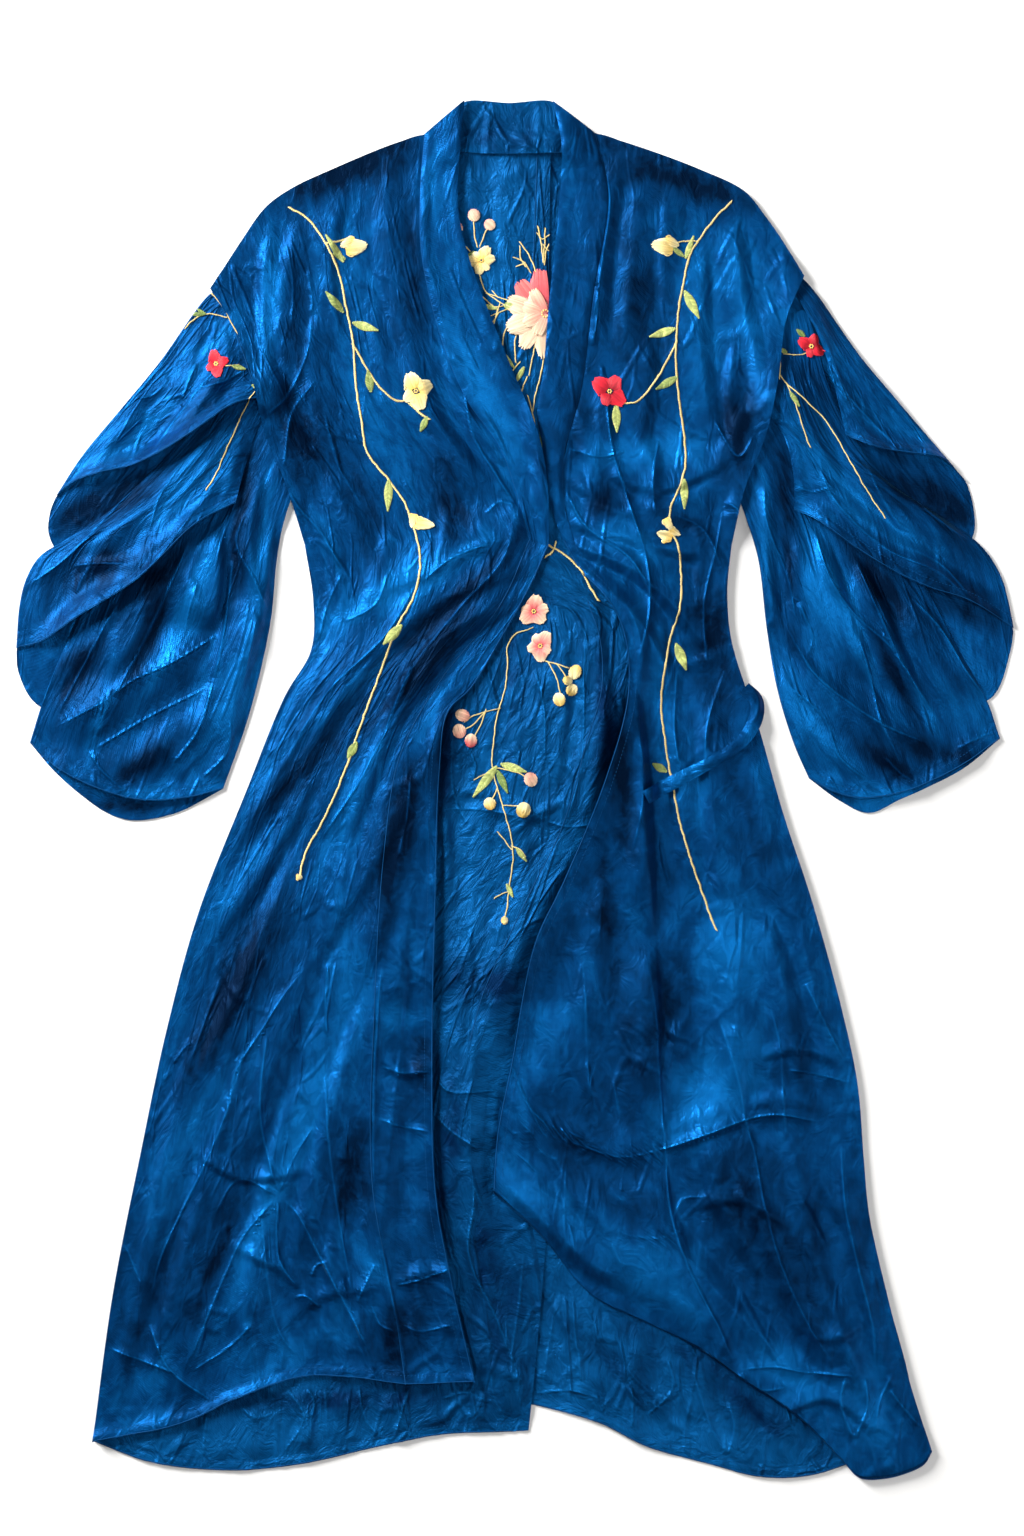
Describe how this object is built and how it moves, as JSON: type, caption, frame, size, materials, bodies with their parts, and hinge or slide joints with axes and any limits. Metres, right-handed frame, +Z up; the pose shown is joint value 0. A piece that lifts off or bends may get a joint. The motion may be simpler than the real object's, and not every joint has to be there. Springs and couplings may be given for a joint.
{
  "type": "laid-out kimono robe",
  "caption": "Long silk kimono robe laid out flat, fronts crossed, with a collar band, tiered flat sleeves, a turned-under hem and a side tie.",
  "frame": {"origin": "centre of the laid robe's underside, on the surface it lies on", "axes": "+Z up from the surface, +Y towards the collar, +X to the viewer's right when seen from above"},
  "size_m": [0.95, 1.3128, 0.0251],
  "materials": {
    "silk": "royal blue silk satin, crumpled",
    "silk_inside": "the same silk's matte inside",
    "thread_gold": "twisted gold-cream embroidery thread",
    "thread_leaf": "olive and yellow-green embroidery thread",
    "thread_cream": "cream and pale yellow satin stitch",
    "thread_pink": "pink and peach satin stitch",
    "thread_red": "red satin stitch"
  },
  "bodies": {
    "root": {"back_right": "silk_inside", "back_left": "silk_inside", "collar_back": "silk_inside", "sleeve_left_tier_1": "silk", "sleeve_left_tier_2": "silk", "sleeve_left_tier_3": "silk", "sleeve_right_tier_1": "silk", "sleeve_right_tier_2": "silk", "sleeve_right_tier_3": "silk", "front_right": "silk", "front_left": "silk", "collar_right": "silk", "collar_left": "silk", "tie": "silk"}
  },
  "joints": []
}
